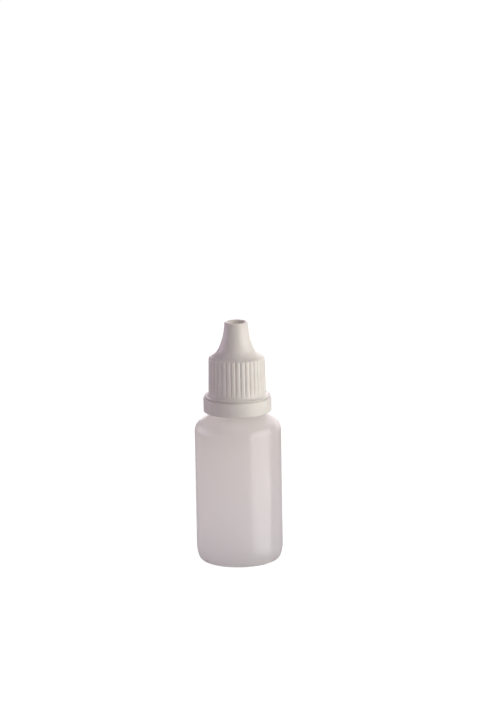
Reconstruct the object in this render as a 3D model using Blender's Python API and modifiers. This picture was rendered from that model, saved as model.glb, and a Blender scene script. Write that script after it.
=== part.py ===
"""A plastic squeeze dropper bottle: blow-moulded bottle, snap-in nozzle, tamper ring and screw cap.

Metres, +Z up. The origin is the centre of the base, on the plane that the bottle stands on.
Every piece is turned about the Z axis, which is also the axis that the cap turns on.
"""

import math

import bmesh
import bpy
import mathutils

MM = 0.001

# Bottle, heights from the plane it stands on
BODY_R = 12.5 * MM
WALL = 1.0 * MM
TAPER_R = 10.7 * MM
TAPER_SWEEP = 18
FOOT_CORNER_R = 1.9 * MM
FOOT_WIDTH = 1.3 * MM
PUSH_UP = 1.2 * MM
WALL_TOP_Z = 38.5 * MM
SHOULDER_R = 3.55 * MM
SHOULDER_SWEEP = 59

# Neck: a plain lower part, the bead that holds the ring down, then the threaded part
NECK_FOOT_R = 6.8 * MM
NECK_R = 5.75 * MM
NECK_BORE_R = 4.5 * MM
NECK_TOP_Z = 57.0 * MM
BEAD_R = 8.1 * MM
BEAD_BOTTOM_Z = 46.7 * MM
BEAD_EDGE_H = 0.5 * MM
BEAD_TOP_Z = 48.2 * MM

# Thread, right-handed, with the same pitch and section on the neck and in the cap
PITCH = 2.5 * MM
THREAD_SECTION_R = 0.65 * MM
THREAD_SINK = 0.13 * MM
NECK_THREAD_Z = 52.3 * MM
NECK_THREAD_TURNS = 1.5
CAP_THREAD_LAG = 0.25
CAP_THREAD_TURNS = 1.25
THREAD_STEPS_PER_TURN = 28
THREAD_FADE_STEPS = 4

# Tamper ring
RING_R = 9.82 * MM
RING_BOTTOM_Z = 44.35 * MM
RING_TOP_Z = 48.45 * MM
RING_BORE_R = 8.5 * MM
RING_LIP_R = 7.4 * MM
RING_LIP_TOP_Z = 46.3 * MM
RING_LIP_EDGE_H = 0.5 * MM
RING_EDGE = 0.15 * MM
BRIDGES = 8
BRIDGE_WIDTH = 0.7 * MM
BRIDGE_H = 0.1 * MM

# Cap
CAP_BOTTOM_Z = 48.75 * MM
CAP_TOP_Z = 70.55 * MM
FLANGE_R = 9.5 * MM
FLANGE_RIM_H = 0.25 * MM
FLANGE_FILLET_W = 1.0 * MM
FLANGE_FILLET_H = 0.78 * MM
SKIRT_R_LOW = 8.3 * MM
SKIRT_R_HIGH = 8.12 * MM
SKIRT_CORNER_R = 0.95 * MM
SKIRT_TOP_Z = 60.5 * MM
CAP_BORE_R = 6.95 * MM
CAP_CEILING_Z = 58.5 * MM
NOSE_TIP_R = 3.37 * MM
NOSE_TAPER = 1
NOSE_FLARE_R = 19.0 * MM
NOSE_SWEEP_R = 4.8 * MM
NOSE_EDGE = 0.35 * MM
NOSE_HOLLOW_R = 2.3 * MM
NOSE_HOLLOW_DEPTH = 2.0 * MM
RIBS = 36
GROOVE_R = 0.45 * MM
GROOVE_DEPTH = 0.32 * MM
GROOVE_BOTTOM_Z = 49.95 * MM
GROOVE_TOP_Z = 61.0 * MM

# Dropper insert
PLUG_R = 4.15 * MM
PLUG_BOTTOM_Z = 50.2 * MM
PLUG_BORE_R = 3.2 * MM
INSERT_FLANGE_R = 5.5 * MM
INSERT_FLANGE_H = 0.8 * MM
NOZZLE_BASE_R = 3.7 * MM
NOZZLE_TIP_R = 1.75 * MM
NOZZLE_TIP_EDGE = 0.4 * MM
NOZZLE_TOP_Z = 66.0 * MM
NOZZLE_BORE_R = 1.0 * MM
NOZZLE_BORE_TOP_Z = 63.0 * MM
ORIFICE_R = 0.4 * MM
FUNNEL_R = 0.9 * MM
FUNNEL_H = 0.7 * MM

# Gap between pieces that touch, and radial room round the nozzle inside the cap
GAP = 0.3 * MM

BOTTLE_SEGMENTS = 48
RING_SEGMENTS = 48
CAP_SEGMENTS = 2 * RIBS
INSERT_SEGMENTS = 32


def clear_scene():
    for obj in list(bpy.data.objects):
        bpy.data.objects.remove(obj, do_unlink=True)


def new_collection(name, helper=False):
    collection = bpy.data.collections.new(name)
    bpy.context.scene.collection.children.link(collection)
    collection.hide_render = helper
    return collection


def plastic(name, colour, roughness, transmission=0.0):
    material = bpy.data.materials.new(name)
    material.use_nodes = True
    shader = material.node_tree.nodes["Principled BSDF"]
    shader.inputs["Base Color"].default_value = (*colour, 1)
    shader.inputs["Roughness"].default_value = roughness
    shader.inputs["Metallic"].default_value = 0
    shader.inputs["Transmission Weight"].default_value = transmission
    material.diffuse_color = (*colour, 1)
    return material


def arc(centre, radius, start, end, steps, height=None):
    """Points on an arc about (r, z), or on an ellipse of that height. Degrees, from +r towards +z."""
    points = []
    for step in range(steps + 1):
        angle = math.radians(start + (end - start) * step / steps)
        r = centre[0] + radius * math.cos(angle)
        z = centre[1] + (height or radius) * math.sin(angle)
        points.append((r, z))
    return points


def dome(radius, rise, base_z, steps):
    """A shallow dome from its rim in to the axis."""
    points = []
    for step in range(steps + 1):
        share = 1 - step / steps
        points.append((radius * share, base_z + rise * (1 - share**2)))
    return points


def turned(name, outline, segments, collection, material):
    """The (r, z) outline turned about the Z axis as one closed body.

    It runs down the outer side and up the inner side. An outline with its two ends on the axis is left
    open there, and any other is closed back to its first point.
    """
    edges = [(i, i + 1) for i in range(len(outline) - 1)]
    if outline[0][0] > 0:
        edges.append((len(outline) - 1, 0))
    mesh = bpy.data.meshes.new(name)
    mesh.from_pydata([(r, 0, z) for r, z in outline], edges, [])
    mesh.materials.append(material)
    obj = bpy.data.objects.new(name, mesh)
    collection.objects.link(obj)
    screw = obj.modifiers.new("turn", "SCREW")
    screw.steps = segments
    screw.render_steps = segments
    screw.use_merge_vertices = True
    screw.merge_threshold = 0.00001
    screw.use_smooth_shade = True
    return obj


def as_helper(obj):
    obj.hide_render = True
    obj.display_type = "WIRE"


def boolean(obj, other, operation):
    modifier = obj.modifiers.new(other.name, "BOOLEAN")
    modifier.object = other
    modifier.operation = operation
    modifier.solver = "EXACT"


def join_as_helper(name, bm, helpers):
    mesh = bpy.data.meshes.new(name)
    bm.to_mesh(mesh)
    bm.free()
    obj = bpy.data.objects.new(name, mesh)
    helpers.objects.link(obj)
    as_helper(obj)
    return obj


def thread(name, radius, start_z, start_turn, turns, helpers):
    """A right-handed helical ridge of round section, which fades in and out over its ends."""
    curve = bpy.data.curves.new(name, "CURVE")
    curve.dimensions = "3D"
    curve.bevel_depth = THREAD_SECTION_R
    curve.bevel_resolution = 1
    curve.use_fill_caps = True
    steps = round(turns * THREAD_STEPS_PER_TURN)
    spline = curve.splines.new("POLY")
    spline.points.add(steps)
    for step, point in enumerate(spline.points):
        turned_so_far = turns * step / steps
        angle = 2 * math.pi * (start_turn + turned_so_far)
        z = start_z + PITCH * turned_so_far
        point.co = (radius * math.cos(angle), radius * math.sin(angle), z, 1)
        point.radius = min(1, (min(step, steps - step) + 1) / THREAD_FADE_STEPS)
    source = bpy.data.objects.new(name + "_curve", curve)
    helpers.objects.link(source)
    graph = bpy.context.evaluated_depsgraph_get()
    mesh = bpy.data.meshes.new_from_object(source.evaluated_get(graph))
    bm = bmesh.new()
    bm.from_mesh(mesh)
    bmesh.ops.remove_doubles(bm, verts=bm.verts, dist=0.000001)
    bmesh.ops.recalc_face_normals(bm, faces=bm.faces)
    ridge = join_as_helper(name, bm, helpers)
    ridge.matrix_world = source.matrix_world.copy()
    bpy.data.objects.remove(source, do_unlink=True)
    return ridge


def foot(inset, steps):
    """The foot's two arcs, set in from the outside: its tight corner, then the gentle taper above it."""
    reach = TAPER_R - FOOT_CORNER_R
    sweep = math.radians(TAPER_SWEEP)
    corner_centre = (BODY_R - TAPER_R + reach * math.cos(sweep), FOOT_CORNER_R)
    taper_centre = (BODY_R - TAPER_R, FOOT_CORNER_R + reach * math.sin(sweep))
    corner = arc(corner_centre, FOOT_CORNER_R - inset, -90, -TAPER_SWEEP, steps)
    return corner + arc(taper_centre, TAPER_R - inset, -TAPER_SWEEP, 0, 4)[1:]


def bottle_inside():
    """From the floor's centre up the inside of the wall to the neck's rim."""
    corner = foot(WALL, 4)
    floor = dome(corner[0][0] - FOOT_WIDTH, PUSH_UP, WALL, 3)
    shoulder = arc((BODY_R - SHOULDER_R, WALL_TOP_Z), SHOULDER_R - WALL, 0, SHOULDER_SWEEP, 5)
    top_r, top_z = shoulder[-1]
    slope_rise = (top_r - NECK_BORE_R) / math.tan(math.radians(SHOULDER_SWEEP))
    rim_chamfer = 0.2 * MM
    neck = [
        (NECK_BORE_R, top_z + slope_rise),
        (NECK_BORE_R, NECK_TOP_Z - rim_chamfer),
        (NECK_BORE_R + rim_chamfer, NECK_TOP_Z),
    ]
    return floor[::-1] + corner + shoulder + neck


def bottle_outside():
    """From the neck's rim down the outside to the base's centre."""
    chamfer = 0.3 * MM
    shoulder = arc((BODY_R - SHOULDER_R, WALL_TOP_Z), SHOULDER_R, SHOULDER_SWEEP, 0, 7)
    corner = foot(0, 5)[::-1]
    top_r, top_z = shoulder[0]
    neck_blend = 0.6 * MM
    slope_r = NECK_FOOT_R + neck_blend
    slope_z = top_z + (top_r - slope_r) / math.tan(math.radians(SHOULDER_SWEEP))
    neck = [
        (NECK_R - chamfer, NECK_TOP_Z),
        (NECK_R, NECK_TOP_Z - chamfer),
        (NECK_R, BEAD_TOP_Z + chamfer),
        (NECK_R + chamfer, BEAD_TOP_Z),
        (BEAD_R, BEAD_BOTTOM_Z + BEAD_EDGE_H),
        (BEAD_R, BEAD_BOTTOM_Z),
        (NECK_FOOT_R, BEAD_BOTTOM_Z),
        (NECK_FOOT_R, slope_z + neck_blend),
        (slope_r, slope_z),
    ]
    return neck + shoulder + corner + dome(corner[-1][0] - FOOT_WIDTH, PUSH_UP, 0, 4)


def make_bottle(parts, helpers):
    material = plastic("milky_polyethylene", (0.78, 0.75, 0.74), 0.42, 0.35)
    outline = bottle_inside() + bottle_outside()
    bottle = turned("bottle", outline, BOTTLE_SEGMENTS, parts, material)
    radius = NECK_R + THREAD_SINK
    ridge = thread("neck_thread", radius, NECK_THREAD_Z, 0, NECK_THREAD_TURNS, helpers)
    boolean(bottle, ridge, "UNION")


def make_insert(parts):
    material = plastic("clear_polyethylene", (0.82, 0.80, 0.79), 0.35, 0.3)
    flange_bottom = NECK_TOP_Z + GAP
    flange_top = flange_bottom + INSERT_FLANGE_H
    edge = 0.3 * MM
    outside = [
        (NOZZLE_TIP_R - NOZZLE_TIP_EDGE, NOZZLE_TOP_Z),
        (NOZZLE_TIP_R, NOZZLE_TOP_Z - NOZZLE_TIP_EDGE),
        (NOZZLE_BASE_R, flange_top + edge),
        (NOZZLE_BASE_R + edge, flange_top),
        (INSERT_FLANGE_R, flange_top),
        (INSERT_FLANGE_R, flange_bottom),
        (PLUG_R, flange_bottom),
        (PLUG_R, PLUG_BOTTOM_Z + 2 * edge),
        (PLUG_R - edge, PLUG_BOTTOM_Z),
    ]
    inside = [
        (PLUG_BORE_R, PLUG_BOTTOM_Z),
        (PLUG_BORE_R, flange_bottom),
        (NOZZLE_BORE_R, NOZZLE_BORE_TOP_Z),
        (ORIFICE_R, NOZZLE_BORE_TOP_Z + edge),
        (ORIFICE_R, NOZZLE_TOP_Z - FUNNEL_H),
        (FUNNEL_R, NOZZLE_TOP_Z),
    ]
    turned("dropper_insert", outside + inside, INSERT_SEGMENTS, parts, material)


def make_ring(parts, helpers):
    material = plastic("ring_polypropylene", (0.80, 0.77, 0.74), 0.4)
    outline = [
        (RING_BORE_R, RING_TOP_Z),
        (RING_R - RING_EDGE, RING_TOP_Z),
        (RING_R, RING_TOP_Z - RING_EDGE),
        (RING_R, RING_BOTTOM_Z + RING_EDGE),
        (RING_R - RING_EDGE, RING_BOTTOM_Z),
        (RING_LIP_R + RING_EDGE, RING_BOTTOM_Z),
        (RING_LIP_R, RING_BOTTOM_Z + RING_EDGE),
        (RING_LIP_R, RING_LIP_TOP_Z - RING_LIP_EDGE_H),
        (RING_LIP_R + RING_LIP_EDGE_H / 2, RING_LIP_TOP_Z),
        (RING_BORE_R, RING_LIP_TOP_Z),
    ]
    ring = turned("tamper_ring", outline, RING_SEGMENTS, parts, material)
    boolean(ring, bridges(helpers), "UNION")


def bridges(helpers):
    """The small stubs on the ring's rim, which snap away from the cap when it is first opened."""
    sunk = 0.4 * MM
    bm = bmesh.new()
    for index in range(BRIDGES):
        made = bmesh.ops.create_cube(bm, size=1)["verts"]
        bmesh.ops.scale(bm, vec=(BRIDGE_WIDTH, BRIDGE_WIDTH, BRIDGE_H + sunk), verts=made)
        place = (RING_BORE_R + BRIDGE_WIDTH, 0, RING_TOP_Z + (BRIDGE_H - sunk) / 2)
        bmesh.ops.translate(bm, vec=place, verts=made)
        turn = 2 * math.pi * (index + 0.5) / BRIDGES
        around = mathutils.Matrix.Rotation(turn, 3, "Z")
        bmesh.ops.rotate(bm, cent=(0, 0, 0), matrix=around, verts=made)
    return join_as_helper("ring_bridges", bm, helpers)


def crossing(first, first_r, second, second_r):
    """Where two (r, z) circles cross, on the right-hand side of the way from the first to the second."""
    apart = math.dist(first, second)
    along = (apart**2 + first_r**2 - second_r**2) / (2 * apart)
    across = math.sqrt(first_r**2 - along**2)
    way_r, way_z = (second[0] - first[0]) / apart, (second[1] - first[1]) / apart
    return first[0] + along * way_r + across * way_z, first[1] + along * way_z - across * way_r


def bearing(start, end):
    """The direction from one (r, z) point to another, in degrees from +r towards +z, 0 to 360."""
    return math.degrees(math.atan2(end[1] - start[1], end[0] - start[0])) % 360


def nose_outline():
    """From the tip's rim down the nose's flare and the sweep below it into the skirt's corner.

    Both are hollow arcs. The tighter one touches the flare above it and the skirt's round corner below.
    """
    taper = math.radians(NOSE_TAPER)
    flare = (NOSE_TIP_R + NOSE_FLARE_R * math.cos(taper), CAP_TOP_Z + NOSE_FLARE_R * math.sin(taper))
    corner = (SKIRT_R_HIGH - SKIRT_CORNER_R, SKIRT_TOP_Z - SKIRT_CORNER_R)
    sweep = crossing(flare, NOSE_FLARE_R - NOSE_SWEEP_R, corner, NOSE_SWEEP_R + SKIRT_CORNER_R)
    joins = bearing(flare, sweep)
    meets = bearing(corner, sweep)
    below_rim = 180 + NOSE_TAPER + math.degrees(NOSE_EDGE / NOSE_FLARE_R)
    rim = [(NOSE_TIP_R - NOSE_EDGE, CAP_TOP_Z)]
    upper = arc(flare, NOSE_FLARE_R, below_rim, joins, 5)
    lower = arc(sweep, NOSE_SWEEP_R, joins, 180 + meets, 5)
    round_corner = arc(corner, SKIRT_CORNER_R, meets, 0, 4)
    return rim + upper + lower[1:] + round_corner[1:]


def cap_outside():
    """From the hollow's floor up and over the rim, then down the nose, skirt and flange."""
    floor_z = CAP_TOP_Z - NOSE_HOLLOW_DEPTH
    draft = 0.2 * MM
    rim_top = CAP_BOTTOM_Z + FLANGE_RIM_H
    edge = FLANGE_RIM_H / 3
    hollow = [
        (0, floor_z),
        (NOSE_HOLLOW_R - draft, floor_z),
        (NOSE_HOLLOW_R, CAP_TOP_Z),
    ]
    fillet_centre = (SKIRT_R_LOW + FLANGE_FILLET_W, rim_top + FLANGE_FILLET_H)
    fillet = arc(fillet_centre, FLANGE_FILLET_W, 180, 270, 4, FLANGE_FILLET_H)
    rim = [
        (FLANGE_R - edge, rim_top),
        (FLANGE_R, rim_top - edge),
        (FLANGE_R, CAP_BOTTOM_Z + edge),
        (FLANGE_R - edge, CAP_BOTTOM_Z),
    ]
    return hollow + nose_outline() + fillet + rim


def cap_inside():
    """From the mouth up the bore and the nose's cavity to the pin that seals the nozzle."""
    chamfer = 0.4 * MM
    cavity_top = NOZZLE_TOP_Z + 2 * GAP
    cavity_base_r = NOZZLE_BASE_R + 0.7 * MM
    cavity_top_r = NOZZLE_TIP_R + GAP
    return [
        (CAP_BORE_R + chamfer, CAP_BOTTOM_Z),
        (CAP_BORE_R, CAP_BOTTOM_Z + chamfer),
        (CAP_BORE_R, CAP_CEILING_Z),
        (cavity_base_r, CAP_CEILING_Z),
        (cavity_top_r, cavity_top),
        (FUNNEL_R - GAP / 2, cavity_top),
        (ORIFICE_R / 2, NOZZLE_TOP_Z - FUNNEL_H / 4),
        (0, NOZZLE_TOP_Z - FUNNEL_H / 4),
    ]


def grooves(helpers):
    """Upright round grooves about the skirt, open at the top, which leave the ribs between them."""
    sides = 8
    height = GROOVE_TOP_Z - GROOVE_BOTTOM_Z
    lean = math.atan((SKIRT_R_LOW - SKIRT_R_HIGH) / height)
    middle_r = (SKIRT_R_LOW + SKIRT_R_HIGH) / 2 - GROOVE_DEPTH + GROOVE_R
    middle_z = (GROOVE_TOP_Z + GROOVE_BOTTOM_Z) / 2
    bm = bmesh.new()
    for index in range(RIBS):
        made = bmesh.ops.create_cone(
            bm,
            cap_ends=True,
            segments=sides,
            radius1=GROOVE_R,
            radius2=GROOVE_R,
            depth=height,
        )["verts"]
        upright = mathutils.Matrix.Rotation(-lean, 3, "Y")
        bmesh.ops.rotate(bm, cent=(0, 0, 0), matrix=upright, verts=made)
        bmesh.ops.translate(bm, vec=(middle_r, 0, middle_z), verts=made)
        around = mathutils.Matrix.Rotation(2 * math.pi * index / RIBS, 3, "Z")
        bmesh.ops.rotate(bm, cent=(0, 0, 0), matrix=around, verts=made)
    return join_as_helper("skirt_grooves", bm, helpers)


def make_cap(parts, helpers):
    material = plastic("cap_polypropylene", (0.80, 0.77, 0.74), 0.4)
    cap = turned("cap", cap_outside() + cap_inside(), CAP_SEGMENTS, parts, material)
    boolean(cap, grooves(helpers), "DIFFERENCE")
    radius = CAP_BORE_R - THREAD_SINK
    start_z = NECK_THREAD_Z + PITCH * (CAP_THREAD_LAG - 0.5)
    ridge = thread("cap_thread", radius, start_z, CAP_THREAD_LAG, CAP_THREAD_TURNS, helpers)
    boolean(cap, ridge, "UNION")


def main():
    clear_scene()
    parts = new_collection("dropper_bottle")
    helpers = new_collection("cutters_and_joined_shapes", helper=True)
    make_bottle(parts, helpers)
    make_insert(parts)
    make_ring(parts, helpers)
    make_cap(parts, helpers)


main()
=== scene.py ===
"""The looks of the dropper bottle: fine turned meshes, procedural plastics, a studio and the camera."""

import math

import bpy
import numpy as np
from mathutils import Euler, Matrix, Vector


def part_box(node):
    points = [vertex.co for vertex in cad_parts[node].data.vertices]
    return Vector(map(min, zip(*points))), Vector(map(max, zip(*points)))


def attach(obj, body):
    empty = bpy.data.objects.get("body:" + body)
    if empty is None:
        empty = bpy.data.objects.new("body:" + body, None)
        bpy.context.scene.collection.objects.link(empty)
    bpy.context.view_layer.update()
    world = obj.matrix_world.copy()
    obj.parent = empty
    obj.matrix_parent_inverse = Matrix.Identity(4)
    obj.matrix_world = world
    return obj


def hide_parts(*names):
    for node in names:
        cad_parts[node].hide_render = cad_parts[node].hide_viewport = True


MM = 0.001

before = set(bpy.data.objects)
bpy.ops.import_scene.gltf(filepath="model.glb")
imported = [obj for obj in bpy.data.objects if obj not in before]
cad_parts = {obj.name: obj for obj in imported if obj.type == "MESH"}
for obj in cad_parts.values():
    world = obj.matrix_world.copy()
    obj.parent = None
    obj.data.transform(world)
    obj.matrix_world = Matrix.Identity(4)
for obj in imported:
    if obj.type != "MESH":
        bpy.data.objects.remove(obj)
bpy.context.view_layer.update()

BOTTLE_LOW, BOTTLE_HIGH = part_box("bottle")
INSERT_LOW, INSERT_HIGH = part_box("dropper_insert")
RING_LOW, RING_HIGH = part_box("tamper_ring")
CAP_LOW, CAP_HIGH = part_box("cap")

# Bottle: its parting line stands on the body, and reaches the CAD solid's radius
SEAM_H = 0.035 * MM
SEAM_HALF_WIDTH = 0.16 * MM
BODY_R = BOTTLE_HIGH.x - SEAM_H
BASE_Z = BOTTLE_LOW.z
NECK_TOP_Z = BOTTLE_HIGH.z
WALL = 1.0 * MM
TAPER_R = 10.7 * MM
TAPER_SWEEP = 18
FOOT_CORNER_R = 1.9 * MM
FOOT_WIDTH = 1.3 * MM
PUSH_UP = 1.2 * MM
WALL_TOP_Z = 38.5 * MM
SHOULDER_R = 3.55 * MM
SHOULDER_SWEEP = 59
NECK_FOOT_R = 6.8 * MM
NECK_R = 5.75 * MM
NECK_BORE_R = 4.5 * MM
BEAD_R = 8.1 * MM
BEAD_BOTTOM_Z = 46.7 * MM
BEAD_TOP_Z = 48.2 * MM

# The weld across the base, where the mould pinched it off
WELD_H = 0.14 * MM
WELD_HALF_WIDTH = 0.32 * MM
WELD_HALF_LENGTH = 5.5 * MM

# Thread
PITCH = 2.5 * MM
THREAD_H = 0.72 * MM
THREAD_HALF_WIDTH = 0.62 * MM
THREAD_FADE_TURNS = 0.12
NECK_THREAD_Z = 52.3 * MM
NECK_THREAD_TURNS = 1.5
CAP_THREAD_LAG = 0.25
CAP_THREAD_TURNS = 1.25

# Tamper ring
RING_R = RING_HIGH.x
RING_BOTTOM_Z = RING_LOW.z
BRIDGE_H = 0.1 * MM
RING_TOP_Z = RING_HIGH.z - BRIDGE_H
RING_BORE_R = 8.5 * MM
RING_LIP_R = 7.4 * MM
RING_LIP_TOP_Z = 46.3 * MM
BRIDGES = 8
BRIDGE_WIDTH = 0.7 * MM

# The ledge of the torn web behind the slit, with the stubs of the bridges on it
LEDGE_R = 9.25 * MM
LEDGE_TOP_Z = RING_TOP_Z + 0.2 * MM
LEDGE_EDGE_R = 0.12 * MM
STUB_H = 0.04 * MM

# Cap
CAP_BOTTOM_Z = CAP_LOW.z
CAP_TOP_Z = CAP_HIGH.z
FLANGE_R = CAP_HIGH.x
FLANGE_RIM_H = 0.25 * MM
FLANGE_FILLET_W = 1.0 * MM
FLANGE_FILLET_H = 0.78 * MM
SKIRT_R_LOW = 8.3 * MM
SKIRT_R_HIGH = 8.12 * MM
SKIRT_CORNER_R = 0.95 * MM
SKIRT_TOP_Z = 60.5 * MM
CAP_BORE_R = 6.95 * MM
CAP_CEILING_Z = 58.5 * MM
NOSE_TIP_R = 3.37 * MM
NOSE_TAPER = 1
NOSE_FLARE_R = 19.0 * MM
NOSE_SWEEP_R = 4.8 * MM
NOSE_RIM_R = 0.38 * MM
NOSE_HOLLOW_R = 2.3 * MM
NOSE_HOLLOW_DEPTH = 2.0 * MM
NOSE_LIP_FLARE = 0.4 * MM
NOSE_LIP_H = 0.45 * MM
RIBS = 36
GROOVE_DEPTH = 0.32 * MM
GROOVE_BOTTOM_Z = 49.8 * MM
GROOVE_TOP_Z = 60.42 * MM
GROOVE_END_H = 0.45 * MM
RIB_CREST_POWER = 3.6
RIB_TURN = math.radians(-3)

# Insert
INSERT_FLANGE_R = INSERT_HIGH.x
INSERT_FLANGE_BOTTOM_Z = NECK_TOP_Z + 0.3 * MM
INSERT_FLANGE_TOP_Z = NECK_TOP_Z + 1.1 * MM
PLUG_R = 4.15 * MM
PLUG_BOTTOM_Z = INSERT_LOW.z
PLUG_BORE_R = 3.2 * MM
NOZZLE_BASE_R = 3.7 * MM
NOZZLE_TIP_R = 1.75 * MM
NOZZLE_TOP_Z = INSERT_HIGH.z
NOZZLE_BORE_R = 1.0 * MM
NOZZLE_BORE_TOP_Z = 63.0 * MM
ORIFICE_R = 0.4 * MM
FUNNEL_R = 0.9 * MM
FUNNEL_H = 0.7 * MM

BOTTLE_SEGMENTS = 180
RING_SEGMENTS = 240
INSERT_SEGMENTS = 120
CAP_SEGMENTS = 12 * RIBS
LONG_STEP = 1.2 * MM
ROW_STEP = 0.4 * MM
FINE_STEP = 0.12 * MM


# ---------------------------------------------------------------- outlines


def arc(centre, radius, start, end, steps, height=None):
    """Points on an arc about (r, z), or on an ellipse of that height. Degrees, from +r towards +z."""
    angles = [math.radians(start + (end - start) * i / steps) for i in range(steps + 1)]
    tall = height or radius
    return [(centre[0] + radius * math.cos(a), centre[1] + tall * math.sin(a)) for a in angles]


def rounded(corners, steps=6):
    """(r, z, rounding) corners as (r, z) points, each corner rounded by an arc of that radius."""
    points = []
    for index, (r, z, rounding) in enumerate(corners):
        if index in (0, len(corners) - 1) or rounding == 0:
            points.append((r, z))
            continue
        here = np.array((r, z))
        before = np.array(corners[index - 1][:2]) - here
        after = np.array(corners[index + 1][:2]) - here
        way_in = before / np.linalg.norm(before)
        way_out = after / np.linalg.norm(after)
        half = math.acos(np.clip(way_in @ way_out, -1, 1)) / 2
        reach = rounding / math.tan(half)
        inwards = (way_in + way_out) / np.linalg.norm(way_in + way_out)
        centre = here + inwards * rounding / math.sin(half)
        first = here + way_in * reach - centre
        last = here + way_out * reach - centre
        turn = math.atan2(first[0] * last[1] - first[1] * last[0], first @ last)
        for step in range(steps + 1):
            angle = turn * step / steps
            cos, sin = math.cos(angle), math.sin(angle)
            spoke = (first[0] * cos - first[1] * sin, first[0] * sin + first[1] * cos)
            points.append((centre[0] + spoke[0], centre[1] + spoke[1]))
    return points


def stepped(points, step_at):
    """The outline with extra points, so that no stretch of it is longer than step_at(r, z) there."""
    out = [points[0]]
    for start, end in zip(points[:-1], points[1:]):
        length = math.dist(start, end)
        if length < 0.002 * MM:
            continue
        middle = [(a + b) / 2 for a, b in zip(start, end)]
        count = max(1, math.ceil(length / step_at(*middle)))
        for i in range(1, count + 1):
            share = i / count
            out.append(tuple(a + (b - a) * share for a, b in zip(start, end)))
    return out


# ---------------------------------------------------------------- turned meshes


def smooth_step(x):
    x = np.clip(x, 0, 1)
    return x * x * (3 - 2 * x)


def even_angles(count):
    return np.arange(count) * 2 * math.pi / count


def outline_normals(rows, closed):
    """Unit (r, z) normals, pointing out of the material, of an outline that runs down its outer side."""
    if closed:
        along = np.roll(rows, -1, axis=0) - np.roll(rows, 1, axis=0)
    else:
        along = np.gradient(rows, axis=0)
    normals = np.stack([-along[:, 1], along[:, 0]], axis=1)
    return normals / np.linalg.norm(normals, axis=1, keepdims=True)


def turned(name, outline, angles, closed, relief=None):
    """A closed body turned about Z from an outline that runs down its outer side and up its inner side.

    relief(angles, radii, heights) says how far each point is raised from the surface, along its normal:
    threads, ribs and seams are worked in this way.
    """
    rows = np.array(outline)
    around = np.repeat(angles[None, :], len(rows), axis=0)
    radii = np.repeat(rows[:, :1], len(angles), axis=1)
    heights = np.repeat(rows[:, 1:], len(angles), axis=1)
    if relief:
        raised = relief(around, radii, heights)
        normals = outline_normals(rows, closed)
        radii = radii + raised * normals[:, :1]
        heights = heights + raised * normals[:, 1:]
    points = np.stack([radii * np.cos(around), radii * np.sin(around), heights], axis=2)
    on_axis = np.abs(rows[:, 0]) < 0.0001 * MM
    verts = []
    index = np.zeros(around.shape, int)
    for row, at_centre in enumerate(on_axis):
        if at_centre:
            index[row, :] = len(verts)
            verts.append((0, 0, float(heights[row, 0])))
        else:
            index[row, :] = np.arange(len(angles)) + len(verts)
            verts.extend(points[row].tolist())
    pairs = [(row, row + 1) for row in range(len(rows) - 1)]
    if closed:
        pairs.append((len(rows) - 1, 0))
    faces = []
    for upper, lower in pairs:
        for here in range(len(angles)):
            there = (here + 1) % len(angles)
            ring = [index[upper, here], index[lower, here], index[lower, there], index[upper, there]]
            faces.append([int(v) for n, v in enumerate(ring) if v not in ring[:n]])
    mesh = bpy.data.meshes.new(name)
    mesh.from_pydata(verts, [], faces)
    mesh.shade_smooth()
    obj = bpy.data.objects.new(name, mesh)
    bpy.context.scene.collection.objects.link(obj)
    return obj


def thread_relief(angles, heights, start_z, start_turn, turns):
    """A right-handed ridge of rounded section, which fades in and out over its ends."""
    relief = np.zeros_like(heights)
    for lap in range(-1, 4):
        turn = angles / (2 * math.pi) + lap - start_turn
        off = np.abs(heights - start_z - PITCH * turn) / THREAD_HALF_WIDTH
        crest = smooth_step((1.0 - off) / 0.55)
        fade_in = smooth_step(turn / THREAD_FADE_TURNS)
        fade_out = smooth_step((turns - turn) / THREAD_FADE_TURNS)
        relief = np.maximum(relief, crest * fade_in * fade_out)
    return relief * THREAD_H


# ---------------------------------------------------------------- bottle


def foot(inset, steps):
    """The foot's two arcs, set in from the outside: its tight corner, then the gentle taper above it."""
    reach = TAPER_R - FOOT_CORNER_R
    sweep = math.radians(TAPER_SWEEP)
    corner_centre = (BODY_R - TAPER_R + reach * math.cos(sweep), FOOT_CORNER_R)
    taper_centre = (BODY_R - TAPER_R, FOOT_CORNER_R + reach * math.sin(sweep))
    corner = arc(corner_centre, FOOT_CORNER_R - inset, -90, -TAPER_SWEEP, steps)
    return corner + arc(taper_centre, TAPER_R - inset, -TAPER_SWEEP, 0, steps)[1:]


def dome(radius, base_z):
    """The pushed-up middle of the base, from its centre out, which blends into the flat foot."""
    shares = np.linspace(0, 1, 24)
    return [(radius * s, base_z + PUSH_UP * (1 - s * s) ** 1.5) for s in shares]


def bottle_inside():
    corner = foot(WALL, 10)
    floor = dome(corner[0][0] - FOOT_WIDTH, WALL)
    shoulder = arc((BODY_R - SHOULDER_R, WALL_TOP_Z), SHOULDER_R - WALL, 0, SHOULDER_SWEEP, 12)
    top_r, top_z = shoulder[-1]
    slope = (top_r - NECK_BORE_R) / math.tan(math.radians(SHOULDER_SWEEP))
    neck = rounded(
        [
            (top_r, top_z, 0),
            (NECK_BORE_R, top_z + slope, 0.8 * MM),
            (NECK_BORE_R, NECK_TOP_Z, 0.2 * MM),
            ((NECK_BORE_R + NECK_R) / 2, NECK_TOP_Z, 0),
        ]
    )
    return floor + corner + shoulder + neck[1:]


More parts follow.
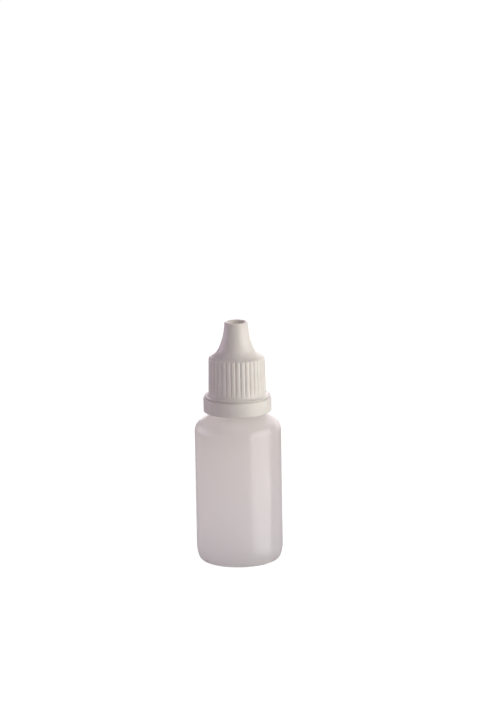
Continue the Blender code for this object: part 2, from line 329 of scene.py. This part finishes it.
def bottle_outside():
    corner = foot(0, 12)[::-1]
    shoulder = arc((BODY_R - SHOULDER_R, WALL_TOP_Z), SHOULDER_R, SHOULDER_SWEEP, 0, 16)
    top_r, top_z = shoulder[0]
    slope_z = top_z + (top_r - NECK_FOOT_R) / math.tan(math.radians(SHOULDER_SWEEP))
    neck = rounded(
        [
            ((NECK_BORE_R + NECK_R) / 2, NECK_TOP_Z, 0),
            (NECK_R, NECK_TOP_Z, 0.3 * MM),
            (NECK_R, BEAD_TOP_Z, 0.3 * MM),
            (BEAD_R, BEAD_BOTTOM_Z + 0.55 * MM, 0.2 * MM),
            (BEAD_R, BEAD_BOTTOM_Z, 0.1 * MM),
            (NECK_FOOT_R, BEAD_BOTTOM_Z, 0.15 * MM),
            (NECK_FOOT_R, slope_z, 0.7 * MM),
            (top_r, top_z, 0),
        ]
    )
    return neck[1:-1] + shoulder + corner + dome(corner[-1][0] - FOOT_WIDTH, 0)[::-1]


def bottle_angles():
    """Even steps, with more of them close to the parting line on either side."""
    beside = np.array([0.25, 0.5, 0.75, 1.0, 1.4]) * SEAM_HALF_WIDTH / BODY_R
    extra = [side + sign * beside for side in (0, math.pi) for sign in (-1, 1)]
    angles = np.concatenate([even_angles(BOTTLE_SEGMENTS), *extra]) % (2 * math.pi)
    return np.unique(angles.round(6))


def bottle_relief(angles, radii, heights):
    """The neck's thread, the parting line up both sides of the body, and the weld across the base."""
    on_neck = (np.abs(radii - NECK_R) < 0.02 * MM) & (heights > BEAD_TOP_Z)
    ridge = thread_relief(angles, heights, NECK_THREAD_Z, 0, NECK_THREAD_TURNS)
    off_seam = np.abs(radii * np.sin(angles))
    outside = (radii > BODY_R - WALL / 2) | ((radii > NECK_FOOT_R) & (heights > WALL_TOP_Z))
    outer_slope = outside & (heights < RING_BOTTOM_Z) & (heights > BASE_Z + FOOT_CORNER_R)
    seam = SEAM_H * smooth_step(1 - off_seam / SEAM_HALF_WIDTH)
    under = heights < BASE_Z + PUSH_UP
    weld = smooth_step(1 - off_seam / WELD_HALF_WIDTH) * smooth_step(2 * (1 - radii / WELD_HALF_LENGTH))
    base_weld = WELD_H * weld * (under & (radii < WELD_HALF_LENGTH))
    return np.where(on_neck, ridge, 0) + np.where(outer_slope, seam, 0) + base_weld


def make_bottle():
    def step_at(r, z):
        threaded = abs(r - NECK_R) < 0.02 * MM and z > BEAD_TOP_Z
        return FINE_STEP if threaded else LONG_STEP

    outline = stepped(bottle_inside() + bottle_outside(), step_at)
    return turned("bottle_shell", outline, bottle_angles(), False, bottle_relief)


# ---------------------------------------------------------------- dropper insert


def make_insert():
    corners = [
        (NOZZLE_TIP_R - 0.42 * MM, NOZZLE_TOP_Z, 0),
        (NOZZLE_TIP_R, NOZZLE_TOP_Z, 0.4 * MM),
        (NOZZLE_BASE_R, INSERT_FLANGE_TOP_Z, 0.5 * MM),
        (INSERT_FLANGE_R, INSERT_FLANGE_TOP_Z, 0.25 * MM),
        (INSERT_FLANGE_R, INSERT_FLANGE_BOTTOM_Z, 0.1 * MM),
        (PLUG_R, INSERT_FLANGE_BOTTOM_Z, 0.1 * MM),
        (PLUG_R, PLUG_BOTTOM_Z + 0.6 * MM, 0.5 * MM),
        (PLUG_R - 0.3 * MM, PLUG_BOTTOM_Z, 0.12 * MM),
        (PLUG_BORE_R, PLUG_BOTTOM_Z, 0.12 * MM),
        (PLUG_BORE_R, INSERT_FLANGE_BOTTOM_Z, 0.8 * MM),
        (NOZZLE_BORE_R, NOZZLE_BORE_TOP_Z, 0.3 * MM),
        (ORIFICE_R, NOZZLE_BORE_TOP_Z + 0.3 * MM, 0.1 * MM),
        (ORIFICE_R, NOZZLE_TOP_Z - FUNNEL_H, 0.2 * MM),
        (FUNNEL_R, NOZZLE_TOP_Z, 0.1 * MM),
        (NOZZLE_TIP_R - 0.45 * MM, NOZZLE_TOP_Z, 0),
    ]
    outline = stepped(rounded(corners), lambda r, z: ROW_STEP)
    return turned("nozzle_insert", outline, even_angles(INSERT_SEGMENTS), True)


# ---------------------------------------------------------------- tamper ring


def ring_relief(angles, radii, heights):
    """The stubs of the bridges to the cap, on the ledge that the torn web leaves behind the slit."""
    spacing = 2 * math.pi / BRIDGES
    across = np.abs(angles % spacing - spacing / 2) * RING_R
    stub = smooth_step((BRIDGE_WIDTH / 2 - across) / (0.3 * BRIDGE_WIDTH) + 1)
    middle = (LEDGE_R + RING_BORE_R) / 2
    room = (LEDGE_R - RING_BORE_R) / 2 - LEDGE_EDGE_R
    on_top = smooth_step((room - np.abs(radii - middle)) / LEDGE_EDGE_R)
    return STUB_H * stub * on_top * (heights > LEDGE_TOP_Z - 0.01 * MM)


def make_ring():
    middle = (LEDGE_R + RING_BORE_R) / 2
    corners = [
        (middle, LEDGE_TOP_Z, 0),
        (LEDGE_R, LEDGE_TOP_Z, 0.05 * MM),
        (LEDGE_R, RING_TOP_Z, 0.05 * MM),
        (RING_R, RING_TOP_Z, 0.26 * MM),
        (RING_R, RING_BOTTOM_Z, 0.14 * MM),
        (RING_LIP_R, RING_BOTTOM_Z, 0.28 * MM),
        (RING_LIP_R, RING_LIP_TOP_Z, 0.25 * MM),
        (RING_BORE_R, RING_LIP_TOP_Z, 0.15 * MM),
        (RING_BORE_R, LEDGE_TOP_Z, LEDGE_EDGE_R),
        (middle - 0.01 * MM, LEDGE_TOP_Z, 0),
    ]

    def step_at(r, z):
        return FINE_STEP if z > RING_TOP_Z - 0.01 * MM else ROW_STEP

    outline = stepped(rounded(corners), step_at)
    return turned("tamper_band", outline, even_angles(RING_SEGMENTS), True, ring_relief)


# ---------------------------------------------------------------- cap


def crossing(first, first_r, second, second_r):
    """Where two (r, z) circles cross, on the right-hand side of the way from the first to the second."""
    apart = math.dist(first, second)
    along = (apart**2 + first_r**2 - second_r**2) / (2 * apart)
    across = math.sqrt(first_r**2 - along**2)
    way_r, way_z = (second[0] - first[0]) / apart, (second[1] - first[1]) / apart
    return first[0] + along * way_r + across * way_z, first[1] + along * way_z - across * way_r


def bearing(start, end):
    """The direction from one (r, z) point to another, in degrees from +r towards +z, 0 to 360."""
    return math.degrees(math.atan2(end[1] - start[1], end[0] - start[0])) % 360


def nose_outline():
    """From below the tip's rim down the nose's flare and the sweep below it into the skirt's corner.

    Both are hollow arcs. The tighter one touches the flare above it and the skirt's round corner below.
    """
    taper = math.radians(NOSE_TAPER)
    flare = (NOSE_TIP_R + NOSE_FLARE_R * math.cos(taper), CAP_TOP_Z + NOSE_FLARE_R * math.sin(taper))
    corner = (SKIRT_R_HIGH - SKIRT_CORNER_R, SKIRT_TOP_Z - SKIRT_CORNER_R)
    sweep = crossing(flare, NOSE_FLARE_R - NOSE_SWEEP_R, corner, NOSE_SWEEP_R + SKIRT_CORNER_R)
    joins = bearing(flare, sweep)
    meets = bearing(corner, sweep)
    below_rim = 180 + NOSE_TAPER + math.degrees(2 * NOSE_RIM_R / NOSE_FLARE_R)
    upper = arc(flare, NOSE_FLARE_R, below_rim, joins, 18)
    lower = arc(sweep, NOSE_SWEEP_R, joins, 180 + meets, 18)
    round_corner = arc(corner, SKIRT_CORNER_R, meets, 0, 12)
    return upper + lower[1:] + round_corner[1:]


def cap_outline():
    floor_z = CAP_TOP_Z - NOSE_HOLLOW_DEPTH
    rim_top = CAP_BOTTOM_Z + FLANGE_RIM_H
    nose = nose_outline()
    top = rounded(
        [
            (0, floor_z, 0),
            (NOSE_HOLLOW_R - 0.2 * MM, floor_z, 0.3 * MM),
            (NOSE_HOLLOW_R, CAP_TOP_Z - NOSE_LIP_H, 0.4 * MM),
            (NOSE_HOLLOW_R + NOSE_LIP_FLARE, CAP_TOP_Z, 0.15 * MM),
            (NOSE_TIP_R, CAP_TOP_Z, NOSE_RIM_R),
            (*nose[0], 0),
        ]
    )
    fillet_centre = (SKIRT_R_LOW + FLANGE_FILLET_W, rim_top + FLANGE_FILLET_H)
    fillet = arc(fillet_centre, FLANGE_FILLET_W, 180, 270, 12, FLANGE_FILLET_H)
    low = rounded(
        [
            (*fillet[-1], 0),
            (FLANGE_R, rim_top, 0.07 * MM),
            (FLANGE_R, CAP_BOTTOM_Z, 0.08 * MM),
            (CAP_BORE_R + 0.3 * MM, CAP_BOTTOM_Z, 0.2 * MM),
            (CAP_BORE_R, CAP_BOTTOM_Z + 0.4 * MM, 0.2 * MM),
            (CAP_BORE_R, CAP_CEILING_Z, 0.3 * MM),
            (NOZZLE_BASE_R + 0.7 * MM, CAP_CEILING_Z, 0.2 * MM),
            (NOZZLE_TIP_R + 0.3 * MM, NOZZLE_TOP_Z + 0.6 * MM, 0.3 * MM),
            (FUNNEL_R - 0.15 * MM, NOZZLE_TOP_Z + 0.6 * MM, 0.15 * MM),
            (ORIFICE_R / 2, NOZZLE_TOP_Z - FUNNEL_H / 4, 0.1 * MM),
            (0, NOZZLE_TOP_Z - FUNNEL_H / 4, 0),
        ]
    )
    return top + nose[1:] + fillet + low[1:]


def cap_relief(angles, radii, heights):
    """Grooves up the skirt, which leave rounded ribs with rounded ends, and the thread in the bore."""
    spacing = 2 * math.pi / RIBS
    off_crest = np.abs(((angles - RIB_TURN) % spacing) / spacing - 0.5) * 2
    across = off_crest**RIB_CREST_POWER
    above = np.clip((heights - GROOVE_BOTTOM_Z) / GROOVE_END_H, 0, 1)
    below = np.clip((GROOVE_TOP_Z - heights) / (2 * GROOVE_END_H), 0, 1)
    ends = np.sqrt(1 - (1 - above) ** 2) * np.sqrt(1 - (1 - below) ** 2)
    on_skirt = radii > (CAP_BORE_R + SKIRT_R_HIGH) / 2 - 0.2 * MM
    groove = np.where(on_skirt, GROOVE_DEPTH * across * ends, 0)
    in_bore = np.abs(radii - CAP_BORE_R) < 0.02 * MM
    start_z = NECK_THREAD_Z + PITCH * (CAP_THREAD_LAG - 0.5)
    ridge = thread_relief(angles, heights, start_z, CAP_THREAD_LAG, CAP_THREAD_TURNS)
    return np.where(in_bore, ridge, 0) - groove


def make_cap():
    thread_low = NECK_THREAD_Z - PITCH
    thread_high = NECK_THREAD_Z + PITCH * (CAP_THREAD_LAG + CAP_THREAD_TURNS)

    def step_at(r, z):
        threaded = abs(r - CAP_BORE_R) < 0.02 * MM and thread_low < z < thread_high
        groove_end = r > SKIRT_R_HIGH - 0.5 * MM and GROOVE_BOTTOM_Z < z < GROOVE_BOTTOM_Z + LONG_STEP / 2
        return FINE_STEP if threaded or groove_end else LONG_STEP

    outline = stepped(cap_outline(), step_at)
    return turned("screw_cap", outline, even_angles(CAP_SEGMENTS), False, cap_relief)


# ---------------------------------------------------------------- materials

# The polyethylene goes from its low colour to its high one between these heights: a painted shade and
# tint, neutral at the foot and warmer towards the shoulder
LOW_COLOUR_Z = 2 * MM
HIGH_COLOUR_Z = 44 * MM


def nodes_of(name):
    material = bpy.data.materials.new(name)
    material.use_nodes = True
    tree = material.node_tree
    return material, tree, tree.nodes["Principled BSDF"]


def noise(tree, scale, detail, stretch=(1, 1, 1)):
    coords = tree.nodes.new("ShaderNodeTexCoord")
    mapping = tree.nodes.new("ShaderNodeMapping")
    mapping.inputs["Scale"].default_value = stretch
    texture = tree.nodes.new("ShaderNodeTexNoise")
    texture.inputs["Scale"].default_value = scale
    texture.inputs["Detail"].default_value = detail
    tree.links.new(coords.outputs["Object"], mapping.inputs["Vector"])
    tree.links.new(mapping.outputs["Vector"], texture.inputs["Vector"])
    return texture.outputs["Fac"]


def ramp(tree, factor, low, high, ends=(0.3, 0.7)):
    """The factor taken from one colour or value to another."""
    node = tree.nodes.new("ShaderNodeValToRGB")
    node.color_ramp.elements[0].position = ends[0]
    node.color_ramp.elements[1].position = ends[1]
    node.color_ramp.elements[0].color = (*low, 1)
    node.color_ramp.elements[1].color = (*high, 1)
    tree.links.new(factor, node.inputs["Fac"])
    return node.outputs["Color"]


def height_and_clouds(tree, low_z, high_z, clouds, share):
    """0 at the lower height and 1 at the upper one, with that share of it given over to the clouds."""
    coords = tree.nodes.new("ShaderNodeTexCoord")
    split = tree.nodes.new("ShaderNodeSeparateXYZ")
    tree.links.new(coords.outputs["Object"], split.inputs["Vector"])
    height = tree.nodes.new("ShaderNodeMapRange")
    height.inputs["From Min"].default_value = low_z
    height.inputs["From Max"].default_value = high_z
    tree.links.new(split.outputs["Z"], height.inputs["Value"])
    mix = tree.nodes.new("ShaderNodeMix")
    mix.inputs["Factor"].default_value = share
    tree.links.new(height.outputs["Result"], mix.inputs["A"])
    tree.links.new(clouds, mix.inputs["B"])
    return mix.outputs["Result"]


def spread(tree, factor, low, high):
    node = tree.nodes.new("ShaderNodeMapRange")
    node.inputs["From Min"].default_value = 0.3
    node.inputs["From Max"].default_value = 0.7
    node.inputs["To Min"].default_value = low
    node.inputs["To Max"].default_value = high
    tree.links.new(factor, node.inputs["Value"])
    return node.outputs["Result"]


def bump(tree, factor, strength, distance, under=None):
    node = tree.nodes.new("ShaderNodeBump")
    node.inputs["Strength"].default_value = strength
    node.inputs["Distance"].default_value = distance
    tree.links.new(factor, node.inputs["Height"])
    if under:
        tree.links.new(under, node.inputs["Normal"])
    return node.outputs["Normal"]


def polyethylene(name, low, high, soak):
    """Milky polyethylene: light soaks through the wall, and its colour is painted neutral low down and
    warmer higher up, a painted shade and tint for how the light falls on it.
    """
    material, tree, shader = nodes_of(name)
    clouds = noise(tree, 260, 3)
    lines = noise(tree, 900, 2, (1, 1, 0.02))
    # Painted shade and tint by height: neutral near the foot and warmer towards the shoulder, standing in
    # for the light on the body
    painted_height_tint = height_and_clouds(tree, LOW_COLOUR_Z, HIGH_COLOUR_Z, clouds, 0.25)
    colour = ramp(tree, painted_height_tint, low, high, (0.05, 0.95))
    drag = bump(tree, lines, 0.08, 0.02 * MM)
    pebble = bump(tree, noise(tree, 2600, 2), 0.10, 0.01 * MM, drag)
    tree.links.new(colour, shader.inputs["Base Color"])
    tree.links.new(spread(tree, clouds, 0.52, 0.60), shader.inputs["Roughness"])
    tree.links.new(pebble, shader.inputs["Normal"])
    shader.inputs["Transmission Weight"].default_value = 0.85
    shader.inputs["Coat Weight"].default_value = 1.0
    shader.inputs["Coat Roughness"].default_value = 0.15
    shader.inputs["Coat IOR"].default_value = 1.8
    through = tree.nodes.new("ShaderNodeBsdfTranslucent")
    tree.links.new(colour, through.inputs["Color"])
    tree.links.new(pebble, through.inputs["Normal"])
    mix = tree.nodes.new("ShaderNodeMixShader")
    mix.inputs["Fac"].default_value = soak
    tree.links.new(shader.outputs[0], mix.inputs[1])
    tree.links.new(through.outputs[0], mix.inputs[2])
    tree.links.new(mix.outputs[0], tree.nodes["Material Output"].inputs["Surface"])
    return material


def polypropylene(name, low, high):
    """Moulded white polypropylene: satin, with a fine pebble and faint clouding."""
    material, tree, shader = nodes_of(name)
    clouds = noise(tree, 350, 3)
    tree.links.new(ramp(tree, clouds, low, high), shader.inputs["Base Color"])
    tree.links.new(spread(tree, clouds, 0.28, 0.35), shader.inputs["Roughness"])
    tree.links.new(bump(tree, noise(tree, 3200, 3), 0.15, 0.01 * MM), shader.inputs["Normal"])
    shader.inputs["Subsurface Weight"].default_value = 0.3
    shader.inputs["Subsurface Radius"].default_value = (1, 0.8, 0.6)
    shader.inputs["Subsurface Scale"].default_value = 0.8 * MM
    return material


# ---------------------------------------------------------------- studio

LIT_POINT = Vector((0, 0, 35 * MM))
SOFTBOX_DISTANCE = 600 * MM
FLOOR_HALF_WIDTH = 4000 * MM


def softbox(name, azimuth, elevation, size, radiance, colour):
    """A softbox that faces the bottle, at an azimuth in degrees to the right of the viewer."""
    data = bpy.data.lights.new(name, "AREA")
    data.shape = "RECTANGLE"
    data.size, data.size_y = size
    data.energy = math.pi * size[0] * size[1] * radiance
    data.color = colour
    light = bpy.data.objects.new(name, data)
    side, rise = math.radians(azimuth), math.radians(elevation)
    way = Vector((math.sin(side) * math.cos(rise), -math.cos(side) * math.cos(rise), math.sin(rise)))
    light.location = LIT_POINT + way * SOFTBOX_DISTANCE
    light.rotation_euler = way.to_track_quat("Z", "Y").to_euler()
    bpy.context.scene.collection.objects.link(light)


def make_floor():
    mesh = bpy.data.meshes.new("floor")
    half = FLOOR_HALF_WIDTH
    corners = [(-half, -half, 0), (half, -half, 0), (half, half, 0), (-half, half, 0)]
    mesh.from_pydata(corners, [], [(0, 1, 2, 3)])
    floor = bpy.data.objects.new("floor", mesh)
    floor.location.z = BASE_Z
    bpy.context.scene.collection.objects.link(floor)
    material, tree, shader = nodes_of("floor_paper")
    shader.inputs["Base Color"].default_value = (0.88, 0.88, 0.88, 1)
    shader.inputs["Roughness"].default_value = 0.9
    shader.inputs["Specular IOR Level"].default_value = 0
    white = tree.nodes.new("ShaderNodeEmission")
    white.inputs["Color"].default_value = (1, 1, 1, 1)
    white.inputs["Strength"].default_value = 1.15
    path = tree.nodes.new("ShaderNodeLightPath")
    share = tree.nodes.new("ShaderNodeMath")
    share.operation = "MULTIPLY"
    share.inputs[1].default_value = 0.85
    mix = tree.nodes.new("ShaderNodeMixShader")
    tree.links.new(path.outputs["Is Camera Ray"], share.inputs[0])
    tree.links.new(share.outputs[0], mix.inputs["Fac"])
    tree.links.new(shader.outputs[0], mix.inputs[1])
    tree.links.new(white.outputs[0], mix.inputs[2])
    tree.links.new(mix.outputs[0], tree.nodes["Material Output"].inputs["Surface"])
    mesh.materials.append(material)
    floor.visible_glossy = False


def make_world():
    world = bpy.data.worlds.new("studio")
    bpy.context.scene.world = world
    world.use_nodes = True
    tree = world.node_tree
    room = tree.nodes["Background"]
    room.inputs["Color"].default_value = (0.94, 0.79, 0.92, 1)
    room.inputs["Strength"].default_value = 0.28
    white = tree.nodes.new("ShaderNodeBackground")
    white.inputs["Color"].default_value = (1, 1, 1, 1)
    path = tree.nodes.new("ShaderNodeLightPath")
    mix = tree.nodes.new("ShaderNodeMixShader")
    tree.links.new(path.outputs["Is Camera Ray"], mix.inputs["Fac"])
    tree.links.new(room.outputs[0], mix.inputs[1])
    tree.links.new(white.outputs[0], mix.inputs[2])
    tree.links.new(mix.outputs[0], tree.nodes["World Output"].inputs["Surface"])


CAMERA_AIM_Z = 59.19 * MM
CAMERA_DISTANCE = 1300 * MM
CAMERA_ELEVATION = 13.23
CAMERA_ROLL = -1.0
CAMERA_SENSOR = 36
CAMERA_LENS = 225.3
CAMERA_SIDE = 0.97 * MM


def make_camera():
    data = bpy.data.cameras.new("camera")
    data.sensor_fit = "VERTICAL"
    data.sensor_height = CAMERA_SENSOR
    data.lens = CAMERA_LENS
    data.clip_start = 0.01
    camera = bpy.data.objects.new("camera", data)
    bpy.context.scene.collection.objects.link(camera)
    rise = math.radians(CAMERA_ELEVATION)
    camera.location = (
        CAMERA_SIDE,
        -CAMERA_DISTANCE * math.cos(rise),
        CAMERA_AIM_Z + CAMERA_DISTANCE * math.sin(rise),
    )
    tilt = Euler((math.pi / 2 - rise, 0, 0)).to_matrix()
    roll = Euler((0, 0, math.radians(CAMERA_ROLL))).to_matrix()
    camera.rotation_euler = (tilt @ roll).to_euler()
    bpy.context.scene.camera = camera


def make_lights():
    softbox("key_softbox", 64, 9, (0.74, 0.66), 2.9, (1.0, 1.0, 0.93))
    softbox("left_fill", -114, 12, (0.60, 0.34), 1.35, (0.98, 0.82, 1.0))
    softbox("back_softbox", 168, 16, (0.64, 0.50), 1.7, (1.0, 0.94, 0.96))


def main():
    bottle = make_bottle()
    insert = make_insert()
    ring = make_ring()
    cap = make_cap()
    # The low and high colours are a painted tint by height, neutral at the foot and warmer towards the
    # shoulder, standing in for how the light falls
    milky = polyethylene("milky_polyethylene", (0.992, 0.992, 0.990), (1.0, 0.988, 0.960), 0.55)
    nozzle = polyethylene("nozzle_polyethylene", (0.90, 0.87, 0.85), (0.93, 0.90, 0.88), 0.3)
    white = polypropylene("cap_polypropylene", (0.745, 0.727, 0.672), (0.785, 0.767, 0.712))
    rows = [
        (bottle, "bottle", "bottle", "bottle_body", milky),
        (insert, "bottle", "dropper_insert", "nozzle", nozzle),
        (ring, "ring", "tamper_ring", "ring", white),
        (cap, "screw_cap", "cap", "cap", white),
    ]
    for piece, body, node, slot, material in rows:
        piece.data.materials.append(material)
        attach(piece, body)
        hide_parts(node)
    make_floor()
    make_world()
    make_lights()
    make_camera()
    bpy.context.scene.view_settings.view_transform = "Standard"


main()
